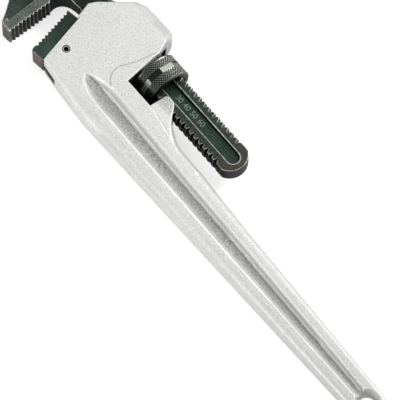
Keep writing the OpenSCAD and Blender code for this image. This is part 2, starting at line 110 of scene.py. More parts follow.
def add_node(tree: bpy.types.NodeTree, kind: str, inputs: dict | None = None, **settings: object) -> bpy.types.Node:
    """Adds a node with its settings, and its inputs as values or as links.

    Args:
        tree: node tree that gets the node.
        kind: the node's type.
        inputs: input name or index to a value, or to the output socket that feeds it.
        **settings: attributes of the node.

    Returns:
        The new node.
    """
    node = tree.nodes.new(kind)
    for name, value in settings.items():
        setattr(node, name, value)
    for key, value in (inputs or {}).items():
        if isinstance(value, bpy.types.NodeSocket):
            tree.links.new(value, node.inputs[key])
        else:
            node.inputs[key].default_value = value
    return node


# ---- finishes ----


class Measure(Enum):
    """What a region's limit is measured on: a place in millimetres, or the way the surface faces, from -1 to 1."""

    ALONG = "distance along the handle"
    ACROSS = "distance towards the mouth side"
    SIDE = "distance from the mid-plane"
    SUNK = "depth below the handle's tapering broad face"
    RADIUS = "distance from the finish's own axis"
    FLAT = "how squarely the surface faces a broad side"
    MOUTHWARD = "how squarely the surface faces the mouth side"

    @property
    def unit(self) -> float:
        """Size of one unit of the measure in the shader."""
        return 1.0 if self in (Measure.FLAT, Measure.MOUTHWARD) else MM


ALONG, ACROSS, SIDE, SUNK = Measure.ALONG, Measure.ACROSS, Measure.SIDE, Measure.SUNK
RADIUS, FLAT, MOUTHWARD = Measure.RADIUS, Measure.FLAT, Measure.MOUTHWARD


@dataclass(frozen=True)
class Region:
    """A part of a surface with a tone of its own.

    Each limit gives a measure, where on it the tone starts to show, and where it is full. A start above its full
    value fades the other way. Where speckle_mm isn't 0, the tone comes in spots of that size.
    """

    tone: str
    amount: float
    limits: tuple[tuple[Measure, float, float], ...]
    speckle_mm: float = 0.0

    def share(
        self,
        tree: bpy.types.NodeTree,
        place: bpy.types.NodeSocket,
        measures: dict[Measure, bpy.types.NodeSocket],
    ) -> bpy.types.NodeSocket:
        """Adds the nodes that say how much of its tone each point of the surface takes.

        Args:
            tree: node tree of the material.
            place: object coordinates.
            measures: the socket of each measure.

        Returns:
            A socket that runs from 0 to the region's amount.
        """
        factors: list[bpy.types.NodeSocket | float] = []
        for measure, start, full in self.limits:
            ramp = add_node(
                tree,
                "ShaderNodeMapRange",
                {"Value": measures[measure], "From Min": start * measure.unit, "From Max": full * measure.unit},
            )
            factors.append(ramp.outputs[0])
        if self.speckle_mm:
            noise = add_node(
                tree, "ShaderNodeTexNoise", {"Vector": place, "Scale": 1 / (self.speckle_mm * MM), "Detail": 2.0}
            )
            low, high = SPECKLE_NOISE
            spots = add_node(
                tree, "ShaderNodeMapRange", {"Value": noise.outputs[0], "From Min": low, "From Max": high}
            )
            factors.append(spots.outputs[0])
        factors.append(self.amount)
        share = factors[0]
        for factor in factors[1:]:
            share = add_node(tree, "ShaderNodeMath", {0: share, 1: factor}, operation="MULTIPLY").outputs[0]
        return share


@dataclass(frozen=True)
class Finish:
    """A metal surface: a tone with regions of its own, mottled by grain, with edges paled partly by rubbing and
    partly as a painted glint, and corners darkened partly by grime and partly as painted shade.

    Lengths are in millimetres, and shares run from 0 to 1. The shares mottle, cloud and fleck say how far grain,
    broad clouds and small dark flecks change the brightness. Edges take the pale edge tone by the edge share, partly
    as rubbing and partly as a painted glint, and corners take the dark corner tone by the corner share, partly as
    grime and partly as painted shade, each between two values of the surface's pointiness, which is 0.5 where it is
    flat. Regions measure their radius from the axis through centre.
    """

    name: str
    tone: str
    # Tone of the pale edges, partly rubbing and partly a painted glint
    worn_and_glint: str
    metallic: float
    roughness: float
    grain_mm: float
    grain_depth_mm: float
    mottle: float = 0.12
    cloud_mm: float = 14.0
    cloud: float = 0.08
    fleck_mm: float = 1.3
    fleck: float = 0.0
    # Share of the pale edges, partly rubbing and partly a painted glint, between two values of pointiness, in patches
    wear_and_glint: float = 0.0
    wear_and_glint_from: float = 0.512
    wear_and_glint_full: float = 0.555
    wear_and_glint_patch_mm: float = 3.0
    least_wear_and_glint: float = 0.45
    # Tone and share of the dark corners, partly grime and partly painted shade, between two values of pointiness
    grime_and_shade_tone: str = "0A0C0B"
    grime_and_shade: float = 0.3
    grime_and_shade_from: float = 0.496
    grime_and_shade_full: float = 0.47
    gloss_range: float = 0.06
    centre: tuple[float, float, float] = (0.0, 0.0, 0.0)
    axis: tuple[float, float, float] = (1.0, 0.0, 0.0)
    regions: tuple[Region, ...] = ()

    def measures(self, tree: bpy.types.NodeTree) -> dict[Measure, bpy.types.NodeSocket]:
        """Adds the nodes that measure the surface.

        Args:
            tree: node tree of the material.

        Returns:
            The socket of each measure.
        """
        source = add_node(tree, "ShaderNodeTexCoord")
        place = add_node(tree, "ShaderNodeSeparateXYZ", {0: source.outputs["Object"]})
        facing = add_node(tree, "ShaderNodeSeparateXYZ", {0: source.outputs["Normal"]})
        side = add_node(tree, "ShaderNodeMath", {0: place.outputs[2]}, operation="ABSOLUTE")
        flat = add_node(tree, "ShaderNodeMath", {0: facing.outputs[2]}, operation="ABSOLUTE")
        land = add_node(
            tree,
            "ShaderNodeMapRange",
            {
                "Value": place.outputs[0],
                "From Max": NECK_X * MM,
                "To Min": END_HALF_THICK * MM,
                "To Max": NECK_HALF_THICK * MM,
            },
        )
        sunk = add_node(tree, "ShaderNodeMath", {0: land.outputs[0], 1: side.outputs[0]}, operation="SUBTRACT")
        offset = add_node(
            tree,
            "ShaderNodeVectorMath",
            {0: source.outputs["Object"], 1: tuple(c * MM for c in self.centre)},
            operation="SUBTRACT",
        )
        radial = add_node(
            tree,
            "ShaderNodeVectorMath",
            {0: offset.outputs[0], 1: tuple(1 - a for a in self.axis)},
            operation="MULTIPLY",
        )
        radius = add_node(tree, "ShaderNodeVectorMath", {0: radial.outputs[0]}, operation="LENGTH")
        return {
            ALONG: place.outputs[0],
            ACROSS: place.outputs[1],
            SIDE: side.outputs[0],
            SUNK: sunk.outputs[0],
            RADIUS: radius.outputs["Value"],
            FLAT: flat.outputs[0],
            MOUTHWARD: facing.outputs[1],
        }

    def toned(self, tree: bpy.types.NodeTree, place: bpy.types.NodeSocket) -> bpy.types.NodeSocket:
        """Darkens the main tone in corners, partly as grime and partly as painted shade, then lays the regions over
        it, in order.

        Args:
            tree: node tree of the material.
            place: object coordinates.

        Returns:
            The colour socket.
        """
        corner = add_node(
            tree,
            "ShaderNodeMapRange",
            {
                "Value": add_node(tree, "ShaderNodeNewGeometry").outputs["Pointiness"],
                "From Min": self.grime_and_shade_from,
                "From Max": self.grime_and_shade_full,
                "To Max": self.grime_and_shade,
            },
        )
        colour = add_node(
            tree,
            "ShaderNodeMix",
            {0: corner.outputs[0], 6: linear(self.tone), 7: linear(self.grime_and_shade_tone)},
            data_type="RGBA",
        ).outputs[2]
        measures = self.measures(tree) if self.regions else {}
        for region in self.regions:
            share = region.share(tree, place, measures)
            colour = add_node(
                tree,
                "ShaderNodeMix",
                {0: share, 6: colour, 7: linear(region.tone)},
                data_type="RGBA",
            ).outputs[2]
        return colour

    def mottled(
        self, tree: bpy.types.NodeTree, place: bpy.types.NodeSocket, colour: bpy.types.NodeSocket
    ) -> bpy.types.NodeSocket:
        """Varies a colour by fine grain, broad clouds and small dark flecks.

        Args:
            tree: node tree of the material.
            place: object coordinates.
            colour: colour to vary.

        Returns:
            The colour socket.
        """
        # Size of the spots, the noise where they start and are full, and the brightness at either end
        spots = (
            (self.grain_mm, 0.36, 0.64, 1 - self.mottle, 1 + 0.5 * self.mottle),
            (self.cloud_mm, 0.3, 0.7, 1 - self.cloud, 1 + 0.5 * self.cloud),
            (self.fleck_mm, 0.56, 0.68, 1.0, 1 - self.fleck),
        )
        for size, low, high, first, last in spots:
            noise = add_node(tree, "ShaderNodeTexNoise", {"Vector": place, "Scale": 1 / (size * MM), "Detail": 2.0})
            level = add_node(
                tree,
                "ShaderNodeMapRange",
                {"Value": noise.outputs[0], "From Min": low, "From Max": high, "To Min": first, "To Max": last},
            )
            colour = add_node(
                tree,
                "ShaderNodeMix",
                {0: 1.0, 6: colour, 7: level.outputs[0]},
                data_type="RGBA",
                blend_type="MULTIPLY",
            ).outputs[2]
        return colour

    def rubbed(
        self, tree: bpy.types.NodeTree, place: bpy.types.NodeSocket, colour: bpy.types.NodeSocket
    ) -> bpy.types.NodeSocket:
        """Brightens the edges, unevenly, partly as rubbing and partly as a painted glint.

        Args:
            tree: node tree of the material.
            place: object coordinates.
            colour: colour to change.

        Returns:
            The colour socket.
        """
        point = add_node(tree, "ShaderNodeNewGeometry").outputs["Pointiness"]
        patches = add_node(
            tree, "ShaderNodeTexNoise", {"Vector": place, "Scale": 1 / (self.wear_and_glint_patch_mm * MM), "Detail": 2.0}
        )
        most = add_node(
            tree,
            "ShaderNodeMapRange",
            {
                "Value": patches.outputs[0],
                "From Min": PATCH_NOISE[0],
                "From Max": PATCH_NOISE[1],
                "To Min": self.least_wear_and_glint * self.wear_and_glint,
                "To Max": self.wear_and_glint,
            },
        )
        edge = add_node(
            tree,
            "ShaderNodeMapRange",
            {"Value": point, "From Min": self.wear_and_glint_from, "From Max": self.wear_and_glint_full, "To Max": most.outputs[0]},
        )
        return add_node(
            tree,
            "ShaderNodeMix",
            {0: edge.outputs[0], 6: colour, 7: linear(self.worn_and_glint)},
            data_type="RGBA",
        ).outputs[2]

    def build(self) -> bpy.types.Material:
        """Makes the material.

        Returns:
            A node material that reads object coordinates.
        """
        material = bpy.data.materials.new(self.name)
        material.use_nodes = True
        tree = material.node_tree
        tree.nodes.clear()
        place = add_node(tree, "ShaderNodeTexCoord").outputs["Object"]
        colour = self.mottled(tree, place, self.toned(tree, place))
        if self.wear_and_glint > 0:
            colour = self.rubbed(tree, place, colour)
        grain = add_node(
            tree,
            "ShaderNodeTexNoise",
            {"Vector": place, "Scale": 1 / (self.grain_mm * MM), "Detail": 4.0, "Roughness": 0.6},
        )
        bump = add_node(
            tree,
            "ShaderNodeBump",
            {"Height": grain.outputs[0], "Strength": 0.6, "Distance": self.grain_depth_mm * MM},
        )
        gloss = add_node(
            tree,
            "ShaderNodeMapRange",
            {
                "Value": grain.outputs[0],
                "To Min": self.roughness - self.gloss_range,
                "To Max": self.roughness + self.gloss_range,
            },
        )
        shader = add_node(
            tree,
            "ShaderNodeBsdfPrincipled",
            {
                "Base Color": colour,
                "Metallic": self.metallic,
                "Roughness": gloss.outputs[0],
                "Normal": bump.outputs[0],
            },
        )
        add_node(tree, "ShaderNodeOutputMaterial", {"Surface": shader.outputs[0]})
        return material


class Finishes:
    """The wrench's finishes, each made once."""

    def __init__(self) -> None:
        """Makes every material."""
        self.casting = self.cast_aluminium().build()
        self.hook = self.forged_steel().build()
        self.heel = self.milled_steel().build()
        self.nut = self.knurled_steel().build()
        self.pin = self.pin_steel().build()
        self.rivet = self.rivet_steel().build()
        self.spring = self.spring_steel().build()
        self.numbers = self.rubbed_numbers().build()

    @staticmethod
    def cast_aluminium() -> Finish:
        """Describes the handle and jaw housing.

        Returns:
            Die-cast aluminium, tumbled.
        """
        flute = ((SUNK, 1.2, 2.6), (ALONG, 9, 14), (ALONG, 396, 390), (ACROSS, 9.5, 8.0))
        lip = ((SUNK, -0.1, 0.15), (SUNK, 1.7, 1.3), (MOUTHWARD, -0.1, -0.25), (ACROSS, 1, 3), (ACROSS, 11, 10))
        shoulder = ((MOUTHWARD, 0.6, 0.72), (MOUTHWARD, 0.99, 0.93), (ACROSS, 8, 10), (ALONG, 345, 335))
        back = ((MOUTHWARD, -0.05, -0.4), (ACROSS, -6, -8), (RADIUS, 5.0, 7.0))
        window = ((ALONG, 331.3, 331.9), (ALONG, 363.6, 362.8), (ACROSS, -25.5, -26.5), (FLAT, 0.7, 0.5))
        # Pale and matt with a fine speckle, greyer in the flutes, partly the as-cast skin that the tumbling stones
        # don't reach and partly painted shade in the recess. The real grain of about 0.3 mm is drawn at 1 mm, so that
        # it shows
        return Finish(
            name="tumbled_cast_aluminium",
            tone="DEDEDC",
            worn_and_glint="FBFBF9",
            metallic=0.25,
            roughness=0.48,
            grain_mm=1.0,
            grain_depth_mm=0.12,
            mottle=0.15,
            cloud_mm=45.0,
            cloud=0.03,
            fleck_mm=1.1,
            fleck=0.3,
            wear_and_glint=0.4,
            wear_and_glint_from=0.507,
            wear_and_glint_full=0.528,
            # Corners and the feet of steps darkened strongly, partly as grime and partly as painted shade
            grime_and_shade=0.6,
            centre=PIN_PLACE,
            axis=SIDEWAYS,
            regions=(
                # Handle, greyer from its middle towards its end, and the flute greyer still, partly as painted shade
                # in the recess
                Region("BEBEBD", 0.6, ((ALONG, 240, 20),)),
                Region("BBBBBA", 0.72, flute),
                # Mouth-side lip of the flute, painted pale as a highlight, and duller towards the handle's end
                *(
                    Region(tone, 0.8, lip + ((ALONG, low, low + 5), (ALONG, high + 25, high - 25)))
                    for low, high, tone in ((9, 120, "C6C6C5"), (120, 365, "FFFFFF"))
                ),
                # Floor of the flute, darker towards its back wall as a painted shadow of that wall, with dark grains
                # on it that also thicken towards the wall as part of that painted shadow. The real ones of 0.3 mm are
                # drawn at 1.4 mm, so that they show
                Region("8C8B89", 0.15, flute + ((ACROSS, 3.5, -1.5), (FLAT, 0.8, 0.93))),
                Region("5E6062", 0.55, flute + ((ACROSS, 6.0, -1.0), (FLAT, 0.8, 0.93)), speckle_mm=1.4),
                # Foot of the flute's back wall, painted white as a highlight along its rounding. It lies deeper
                # towards the neck
                *(
                    Region(
                        "FFFFFF",
                        1.0,
                        flute
                        + ((SUNK, depth, depth + 0.3), (MOUTHWARD, 0.04, 0.12))
                        + ((ALONG, low - 10, low + 10), (ALONG, high + 10, high - 10)),
                    )
                    for low, high, depth in ((0, 75, 3.4), (75, 200, 4.1), (200, 450, 4.4))
                ),
                # Shoulder between the broad face and the mouth-side edge, a shade greyer than either
                Region("C4C4C3", 1.0, shoulder),
                # Back of the handle, greyer on the faces that turn towards the back
                Region("B8B8B7", 0.75, back),
                # Edge of the pin's hole, with a painted highlight round its rim and a painted black ring of shade in
                # the gap round the pin
                Region("FFFFFF", 0.4, ((RADIUS, 5.1, 4.8),)),
                Region("0E100F", 1.0, ((RADIUS, 4.15, 3.95),)),
                # Milled window and jaw slot, painted near black as the shade inside them
                Region("0F1311", 0.97, window),
                Region("1A1E1C", 0.9, ((ALONG, 361.0, 363.0), (SIDE, 9.3, 8.9), (FLAT, 0.6, 0.8))),
            ),
        )

    @staticmethod
    def forged_steel() -> Finish:
        """Describes the hook jaw and its shank.

        Returns:
            Forged steel under black oxide.
        """
        band_edge = ((SIDE, 11.66, 11.8), (SIDE, 12.14, 12.04), (FLAT, 0.3, 0.5), (ALONG, 460, 464))
        valleys = ((ALONG, 470.0, 467.0), (FLAT, 0.6, 0.4), (ACROSS, 21.0, 19.6), (ACROSS, -27, -24))
        tips = ((ALONG, 466.45, 466.05), (FLAT, 0.6, 0.4), (ACROSS, -27, -24))
        rail = ((SIDE, 7.2, 7.8), (FLAT, 0.5, 0.8))
        recess_edge = ((ALONG, 430, 424), (SIDE, 7.3, 7.7))
        outer_edge = ((ACROSS, -62.7, -62.5), (ACROSS, -61.1, -61.4), (ALONG, 248.7, 249.2))
        inner_edge = ((ACROSS, -48.3, -48.5), (ACROSS, -49.7, -49.4), (ALONG, 248.7, 249.2))
        round_edge = ((RADIUS, 7.3, 7.1), (RADIUS, 5.9, 6.2), (ALONG, 249.2, 248.7))
        # Green-black and slightly glossy, grey where it is ground or rubbed, brown at its ground nose as a painted
        # warm reflection, painted black as shade on the narrow faces of its shank, and bright along its edges, partly
        # as rubbing and partly as a painted glint. The forging's scale, really about 0.4 mm, is drawn at 1.5 mm, so
        # that it shows
        return Finish(
            name="black_oxide_forged_steel",
            tone="3B4742",
            worn_and_glint="DDE0D8",
            metallic=0.8,
            roughness=0.42,
            grain_mm=1.5,
            grain_depth_mm=0.1,
            mottle=0.42,
            cloud=0.25,
            wear_and_glint=0.6,
            wear_and_glint_from=0.51,
            wear_and_glint_full=0.545,
            centre=(249.2, SHANK_Y, 0.0),
            axis=SIDEWAYS,
            regions=(
                # Oxide, darker towards the shank
                Region("16261F", 0.9, ((ACROSS, 6, -22),)),
                # Band behind the teeth, ground grey, with a bright edge, partly rubbed and partly a painted glint
                Region("646C66", 1.0, ((SIDE, 11.75, 11.95), (FLAT, 0.7, 0.9))),
                Region("C0C4BC", 0.85, band_edge),
                # Valleys between the teeth, near black, and the teeth's bitten tips
                Region("060907", 1.0, valleys),
                Region("636D66", 1.0, tips),
                # Nose of the jaw, ground, and painted brown as a warm reflection
                Region("6E685F", 0.95, ((ACROSS, 17.5, 18.8), (FLAT, 0.75, 0.6))),
                # Rails of the shank, rubbed, and browner at their round end
                Region("343E39", 1.0, ((ALONG, 430, 424),) + rail),
                Region("443E38", 0.9, ((ALONG, 262, 248),) + rail),
                # Floor of the recess, and its edges, partly rubbed and partly painted bright as a glint
                Region("31423A", 1.0, ((ALONG, 430, 424), (SIDE, 6.2, 5.2))),
                Region("B2B8B0", 0.8, recess_edge + outer_edge),
                Region("B2B8B0", 0.6, recess_edge + inner_edge),
                Region("B2B8B0", 0.8, recess_edge + round_edge),
                # Narrow faces of the shank, painted black as shade
                Region("080B0A", 1.0, ((ALONG, 450, 446), (FLAT, 0.7, 0.45))),
            ),
        )

    @staticmethod
    def milled_steel() -> Finish:
        """Describes the heel jaw.

        Returns:
            Milled steel under black oxide.
        """
        # Green-black and even, with a ground end painted brown as a warm reflection. The cutter's marks, really about
        # 0.3 mm apart, are drawn as grain of 1 mm, so that they show
        return Finish(
            name="black_oxide_milled_steel",
            tone="37463F",
            worn_and_glint="B2B5AC",
            metallic=0.8,
            roughness=0.4,
            grain_mm=1.0,
            grain_depth_mm=0.05,
            mottle=0.26,
            cloud_mm=9.0,
            cloud=0.25,
            wear_and_glint=0.6,
            regions=(
                # Oxide, darker towards the back of the handle, and the ground end at the mouth, painted brown as a
                # warm reflection
                Region("1F302A", 0.75, ((ACROSS, 4, -22),)),
                Region("7C7268", 1.0, ((MOUTHWARD, 0.4, 0.7), (FLAT, 0.75, 0.6), (ALONG, 427, 428.5))),
            ),
        )

    @staticmethod
    def knurled_steel() -> Finish:
        """Describes the adjusting nut.

        Returns:
            Turned and knurled steel under black oxide.
        """
        groove = ((ALONG, 345.7, 346.0), (ALONG, 351.7, 351.4))
        points = ((ALONG, 338.4, 338.9), (ALONG, 359.0, 358.5), (RADIUS, 21.95, 22.25))
        low_rim = ((ALONG, 338.5, 338.1), (RADIUS, 20.3, 20.7), (ACROSS, -48.0, -66.0))
        # Black and glossy, with its knurl's valleys painted black as shade and its points painted bright as
        # highlights, which glitter as a net, and a few flats between the two bands painted with the reflections that
        # they would show.
        # The fine grain of the turned steel, under 0.2 mm, is drawn at 0.9 mm, so that it shows
        return Finish(
            name="black_oxide_knurled_steel",
            tone="3A3D38",
            worn_and_glint="C9CCC2",
            metallic=0.8,
            roughness=0.36,
            grain_mm=0.9,
            grain_depth_mm=0.03,
            grime_and_shade=0.0,
            centre=(0.0, SHANK_Y, 0.0),
            regions=(
                # Valleys of the knurl and all that lies deeper, painted black as shade
                Region("050706", 1.0, ((RADIUS, 22.05, 21.75),)),
                # Points of the knurl, painted bright as highlights, and brighter still on the outer side, where the
                # lamp falls
                Region("828A7E", 0.9, points),
                Region("FFFFFA", 0.85, points + ((ACROSS, -48.0, -68.0),)),
                # Middle groove, painted dark, and three of its flats painted in the pale and grey tones of the
                # reflections they would show by the way they face
                Region("1A1E1B", 1.0, groove),
                Region("A6A8A0", 0.9, groove + ((MOUTHWARD, -0.12, -0.3), (MOUTHWARD, -0.7, -0.5))),
                Region("6E716B", 0.9, groove + ((MOUTHWARD, -0.5, -0.7),)),
                Region("B4B7B0", 0.9, groove + ((MOUTHWARD, 0.62, 0.75),)),
                # Chamfer of the lower rim, painted bright as a highlight on the outer side
                Region("8E9087", 0.5, low_rim),
                # Bore and its thread, near black
                Region("0C100E", 1.0, ((RADIUS, 17.6, 17.2),)),
            ),
        )

    @staticmethod
    def pin_steel() -> Finish:
        """Describes the roll pin.

        Returns:
            Rolled spring steel, hardened.
        """
        # Near black, with its cut end bright between a dark edge and a dark bore. Its fine grain, under 0.1 mm, is
        # drawn at 0.8 mm, so that it shows
        return Finish(
            name="hardened_pin_steel",
            tone="151615",
            worn_and_glint="D8D9D5",
            metallic=0.8,
            roughness=0.3,
            grain_mm=0.8,
            grain_depth_mm=0.02,
            centre=PIN_PLACE,
            axis=SIDEWAYS,
            regions=(Region("B4B5B2", 0.9, ((RADIUS, 2.2, 2.35), (RADIUS, 3.05, 2.9), (FLAT, 0.6, 0.8))),),
        )

    @staticmethod
    def rivet_steel() -> Finish:
        """Describes the rivet of the leaf spring.

        Returns:
            Mild steel, set cold.
        """
        # Grey and smooth, with a low gloss from the setting punch. Its fine grain, under 0.1 mm, is drawn at 0.8 mm,
        # so that it shows
        return Finish(
            name="set_rivet_steel",
            tone="6E7072",
            worn_and_glint="B5B8BA",
            metallic=0.9,
            roughness=0.36,
            grain_mm=0.8,
            grain_depth_mm=0.02,
        )

    @staticmethod
    def spring_steel() -> Finish:
        """Describes the coil and leaf springs.

        Returns:
            Spring steel, drawn and rolled.
        """
        # Bright and smooth, a little bluer than the other steels. Its fine grain, under 0.1 mm, is drawn at 0.8 mm,
        # so that it shows
        return Finish(
            name="drawn_spring_steel",
            tone="868A8C",
            worn_and_glint="B5B8BA",
            metallic=1.0,
            roughness=0.3,
            grain_mm=0.8,
            grain_depth_mm=0.01,
        )

    @staticmethod
    def rubbed_numbers() -> Finish:
        """Describes the numbers on the shank.

        Returns:
            Forged steel under black oxide, rubbed.
        """
        # Forged with the shank: their tops are rubbed grey by the nut, and their feet are painted dark as the shade
        # at their foot. The fine grain of the rubbed steel, under 0.2 mm, is drawn at 0.8 mm, so that it shows
        return Finish(
            name="rubbed_forged_numbers",
            tone="75817A",
            worn_and_glint="C9D0C8",
            metallic=0.8,
            roughness=0.38,
            grain_mm=0.8,
            grain_depth_mm=0.03,
            mottle=0.3,
            regions=(Region("0C1210", 1.0, ((SIDE, 5.05, 4.9),)),),
        )


# ---- mesh work ----


def deselect() -> None:
    """Leaves object mode with nothing selected."""
    if bpy.context.object is not None and bpy.context.object.mode != "OBJECT":
        bpy.ops.object.mode_set(mode="OBJECT")
    bpy.ops.object.select_all(action="DESELECT")


def activate(piece: bpy.types.Object) -> None:
    """Selects one object alone and makes it active.

    Args:
        piece: object to work on next.
    """
    deselect()
    piece.select_set(True)
    bpy.context.view_layer.objects.active = piece


def apply_modifier(piece: bpy.types.Object, kind: str, **settings: object) -> None:
    """Adds a modifier with its settings and applies it.

    Args:
        piece: mesh object.
        kind: the modifier's type.
        **settings: attributes of the modifier.
    """
    activate(piece)
    bpy.ops.object.modifier_add(type=kind)
    modifier = piece.modifiers[-1]
    for name, value in settings.items():
        setattr(modifier, name, value)
    bpy.ops.object.modifier_apply(modifier=modifier.name)


def close_skin(piece: bpy.types.Object) -> None:
    """Merges a mesh's doubles and turns its faces outwards.

    Args:
        piece: mesh object.
    """
    activate(piece)
    bpy.ops.object.mode_set(mode="EDIT")
    bpy.ops.mesh.select_all(action="SELECT")
    bpy.ops.mesh.remove_doubles(threshold=DOUBLES)
    bpy.ops.mesh.normals_make_consistent(inside=False)
    bpy.ops.object.mode_set(mode="OBJECT")


def solid_copy(node: str, name: str) -> bpy.types.Object:
    """Copies a CAD node as one closed mesh of its own.

    Args:
        node: name of the CAD node.
        name: name of the copy.

    Returns:
        The copy, with its doubles merged.
    """
    activate(frame["nodes"][node])
    bpy.ops.object.duplicate()
    piece = bpy.context.object
    piece.parent = None
    piece.name = name
    piece.data.name = name
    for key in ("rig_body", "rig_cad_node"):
        if key in piece:
            del piece[key]
    piece.data.materials.clear()
    close_skin(piece)
    return piece


def soften(piece: bpy.types.Object, voxel_mm: float, passes: int) -> None:
    """Rebuilds a solid with the soft edges of a casting or forging.

    Args:
        piece: closed mesh.
        voxel_mm: size of the new faces.
        passes: how often the surface is relaxed.
    """
    apply_modifier(piece, "REMESH", mode="VOXEL", voxel_size=voxel_mm * MM)
    apply_modifier(piece, "SMOOTH", factor=0.5, iterations=passes)
    triangles = 2 * len(piece.data.polygons)
    if triangles > MOST_TRIANGLES:
        apply_modifier(piece, "DECIMATE", ratio=MOST_TRIANGLES / triangles)
    activate(piece)
    bpy.ops.object.shade_smooth()


def crisp(
    piece: bpy.types.Object, bevel_mm: float, plane_deg: float = 0.5, bevel_deg: float = 35, smooth_deg: float = 32
) -> None:
    """Gives a machined solid narrow bevels and smooth round faces.

    Args:
        piece: closed mesh of triangles.
        bevel_mm: width of the bevels.
        plane_deg: most that faces of one plane differ by.
        bevel_deg: least turn of an edge that gets a bevel.
        smooth_deg: most turn of an edge that is shaded smooth.
    """
    activate(piece)
    bpy.ops.object.mode_set(mode="EDIT")
    bpy.ops.mesh.select_all(action="SELECT")
    bpy.ops.mesh.dissolve_limited(angle_limit=math.radians(plane_deg))
    bpy.ops.object.mode_set(mode="OBJECT")
    apply_modifier(
        piece,
        "BEVEL",
        width=bevel_mm * MM,
        segments=2,
        limit_method="ANGLE",
        angle_limit=math.radians(bevel_deg),
        harden_normals=False,
    )
    activate(piece)
    bpy.ops.object.shade_smooth_by_angle(angle=math.radians(smooth_deg))


def dress(piece: bpy.types.Object, material: bpy.types.Material, slot: str, body: Body, *nodes: str) -> None:
    """Gives a piece its finish and its body, and hides the CAD nodes that it stands for.

    Args:
        piece: finished mesh.
        material: its finish.
        slot: material slot of the record; not used.
        body: body that carries it.
        *nodes: CAD nodes that it replaces.
    """
    piece.data.materials.clear()
    piece.data.materials.append(material)
    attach(piece, body.value)
    if nodes:
        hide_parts(*nodes)
    LOG.info("%s: %d faces", piece.name, len(piece.data.polygons))


# ---- sub-assemblies ----


@dataclass
class Casting:
    """The one-piece aluminium handle and jaw housing."""

    voxel_mm: float = 0.55
    passes: int = 2

    def build(self, finishes: Finishes) -> None:
        """Builds the casting with soft cast edges.

        Args:
            finishes: the wrench's finishes.
        """
        piece = solid_copy("handle", "handle_casting")
        soften(piece, self.voxel_mm, self.passes)
        dress(piece, finishes.casting, "handle_casting", Body.FRAME, "handle")


@dataclass
class HeelJaw:
    """The pinned lower jaw and its roll pin."""

    voxel_mm: float = 0.35
    passes: int = 2
    pin_bevel_mm: float = 0.3

    def build(self, finishes: Finishes) -> None:
        """Builds the jaw and its pin.

        Args:
            finishes: the wrench's finishes.
        """
        jaw = solid_copy("heel_jaw", "heel_jaw_block")
        soften(jaw, self.voxel_mm, self.passes)
        dress(jaw, finishes.heel, "jaw_steel", Body.FRAME, "heel_jaw")
        pin = solid_copy("heel_jaw_pin", "heel_jaw_roll_pin")
        crisp(pin, self.pin_bevel_mm)
        dress(pin, finishes.pin, "pin_steel", Body.FRAME, "heel_jaw_pin")


@dataclass
class HookJaw:
    """The sliding upper jaw with its threaded shank.

    The numbers stand on the floor of each recess, sunk a little into it, and swell a little past the font's outline.
    """

    voxel_mm: float = 0.42
    passes: int = 2
    shank_y: float = SHANK_Y
    recess_z: float = 4.6
    number_rise: float = 0.55
    number_height: float = 7.6
    number_swell: float = 0.1
    number_sunk: float = 0.05
    numbers: tuple[tuple[str, float], ...] = (("30", 323.3), ("40", 313.3), ("50", 303.3), ("60", 293.3))

    def build(self, finishes: Finishes) -> None:
        """Builds the forging and the jaw opening's scale on its shank.

        Args:
            finishes: the wrench's finishes.
        """
        piece = solid_copy("hook_jaw", "hook_jaw_forging")
        soften(piece, self.voxel_mm, self.passes)
        dress(piece, finishes.hook, "jaw_steel", Body.JAW, "hook_jaw")
        for side, name in ((1, "front"), (-1, "back")):
            scale = self.scale(side, f"opening_scale_{name}")
            dress(scale, finishes.numbers, "jaw_steel", Body.JAW)

    def scale(self, side: int, name: str) -> bpy.types.Object:
        """Raises the numbers of the opening scale, in millimetres, from the floor of one recess.

        Each number stands at the nut's lower end when the jaws are open by as much.

        Args:
            side: 1 for the front recess, -1 for the back one.
            name: name of the piece.

        Returns:
            The numbers as one mesh, in place.
        """
        digits = [self.number(text, x, side) for text, x in self.numbers]
        deselect()
        for digit in digits:
            digit.select_set(True)
        bpy.context.view_layer.objects.active = digits[0]
        bpy.ops.object.join()
        piece = bpy.context.object
        piece.name = name
        piece.data.name = name
        close_skin(piece)
        return piece

    def number(self, text: str, x: float, side: int) -> bpy.types.Object:
        """Raises one number, which reads away from the nut with its top towards the outer rail.

        Args:
            text: the number.
            x: its middle along the handle.
            side: 1 for the front recess, -1 for the back one.

        Returns:
            The number as a mesh, in place.
        """
        deselect()
        bpy.ops.object.text_add()
        digit = bpy.context.object
        digit.data.body = text
        digit.data.align_x = "CENTER"
        digit.data.align_y = "CENTER"
        digit.data.size = self.number_height * MM
        digit.data.extrude = self.number_rise / 2 * MM
        digit.data.offset = self.number_swell * MM
        bpy.ops.object.convert(target="MESH")
        turn = Matrix(((-1, 0, 0), (0, -side, 0), (0, 0, side))).to_4x4()
        height = side * (self.recess_z + self.number_rise / 2 - self.number_sunk)
        digit.matrix_world = Matrix.Translation(Vector((x, self.shank_y, height)) * MM) @ turn
        activate(digit)
        bpy.ops.object.transform_apply(location=True, rotation=True, scale=True)
        return digit


